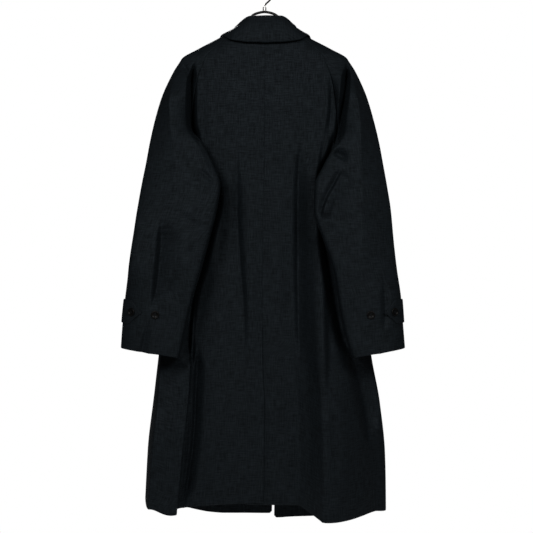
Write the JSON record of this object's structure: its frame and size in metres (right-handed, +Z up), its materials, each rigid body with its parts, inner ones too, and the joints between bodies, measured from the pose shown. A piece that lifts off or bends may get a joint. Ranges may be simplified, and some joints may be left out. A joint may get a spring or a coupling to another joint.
{
  "type": "balmacaan coat on a hanger",
  "caption": "Knee-length raglan-sleeved coat with a turn-down collar, back vent and buttoned cuff tabs, hanging on a plain metal hanger.",
  "frame": {"origin": "the inside of the top of the hanger's hook, where a rail carries it", "axes": "+Z up; the coat's back faces -Y and its front +Y; +X is the wearer's right"},
  "size_m": [0.6328, 0.2486, 1.2566],
  "materials": {
    "cloth": "matt wool plain weave",
    "horn": "semi-gloss",
    "steel": "bright plated"
  },
  "bodies": {
    "root": {"back_left": "cloth", "back_right": "cloth", "front_left": "cloth", "front_right": "cloth", "sleeve_left_back": "cloth", "sleeve_left_front": "cloth", "sleeve_right_back": "cloth", "sleeve_right_front": "cloth", "collar": "cloth", "cuff_tab_left": "cloth", "cuff_tab_right": "cloth", "cuff_button_left": "horn", "cuff_spare_button_left": "horn", "cuff_button_right": "horn", "cuff_spare_button_right": "horn", "front_button_1": "horn", "front_button_2": "horn", "front_button_3": "horn", "front_button_4": "horn", "hanger_bar": "steel", "hanger_ferrule": "steel", "hanger_hook": "steel"}
  },
  "joints": []
}
